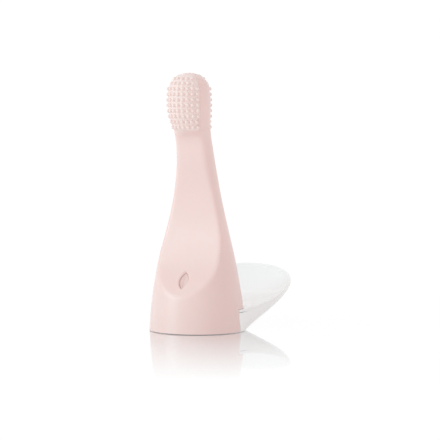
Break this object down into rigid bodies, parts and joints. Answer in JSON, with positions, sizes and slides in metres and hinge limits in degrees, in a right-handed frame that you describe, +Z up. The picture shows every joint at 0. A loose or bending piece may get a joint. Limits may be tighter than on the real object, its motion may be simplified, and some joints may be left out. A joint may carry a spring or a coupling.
{
  "type": "electric toothbrush on charger",
  "caption": "Bell-shaped silicone electric toothbrush with a domed bristle head and scooped thumb rest, standing in a petal-shaped charging cradle.",
  "frame": {"origin": "centre of the handle's round base, on the surface that the cradle stands on", "axes": "+Z up, the brush's thumb rest and front bristles face -Y, the petal rises behind it towards +Y"},
  "size_m": [0.053, 0.0839, 0.112],
  "materials": {
    "skin": "matte silicone, pale pink",
    "bristles": "matte silicone, slightly lighter pink",
    "key": "matte silicone",
    "cradle": "glossy white ABS",
    "housing": "moulded off-white ABS",
    "foot": "soft grey silicone",
    "seal": "nitrile",
    "steel": "zinc plated",
    "nickel": "nickel strip",
    "magnet": "nickel plated",
    "weight": "turned",
    "bronze": "sintered bronze",
    "copper": "enamelled copper winding",
    "ferrite": "pressed ferrite",
    "board": "green solder mask",
    "chips": "black moulded packages",
    "stem": "nylon",
    "led": "clear epoxy chip",
    "cell": "shrink sleeve",
    "leads": "PVC insulated leads"
  },
  "bodies": {
    "cradle": {"cradle_top": "cradle", "cradle_underside": "cradle", "base_plate": "housing", "base_screws": "steel", "foot_pad": "foot", "transmitter_ferrite": "ferrite", "transmitter_coil": "copper", "power_inlet": "cradle", "inlet_contacts": "nickel", "charger_board": "board", "charger_chips": "chips", "charger_leads": "leads"},
    "handle": {"silicone_sleeve": "skin", "front_bristle_pad": "bristles", "back_bristle_pad": "bristles", "front_housing": "housing", "rear_housing": "housing", "housing_screws": "steel", "bottom_cap": "housing", "cap_seal": "seal", "cap_screws": "steel", "battery_holder": "housing", "battery_cell": "cell", "battery_tabs": "nickel", "main_board": "board", "board_chips": "chips", "status_led": "led", "tact_switch_body": "chips", "receiver_coil": "copper", "receiver_ferrite": "ferrite", "motor_leads": "leads", "battery_leads": "leads", "coil_leads": "leads", "motor_can": "steel", "motor_end_cap": "chips", "motor_bearing": "bronze", "stator_magnet": "magnet", "motor_boot": "seal"},
    "power_button": {"power_key": "key", "key_plunger": "housing", "switch_stem": "stem"},
    "motor_rotor": {"motor_shaft": "steel", "rotor_coil": "copper", "eccentric_weight": "weight"}
  },
  "joints": [
    {"name": "handle_lift", "type": "slide", "parent": "cradle", "child": "handle", "axis": [0, 0, 1], "range_m": [0, 0.03]},
    {"name": "button_press", "type": "slide", "parent": "handle", "child": "power_button", "axis": [0, 0.7848, -0.6198], "range_m": [0, 0.0004], "stiffness_N_per_m": 1500, "springref_m": -0.0002},
    {"name": "rotor_spin", "type": "hinge", "parent": "handle", "child": "motor_rotor", "pos_m": [0, -0.0089, 0.1], "axis": [0, 0, 1], "continuous": true}
  ]
}
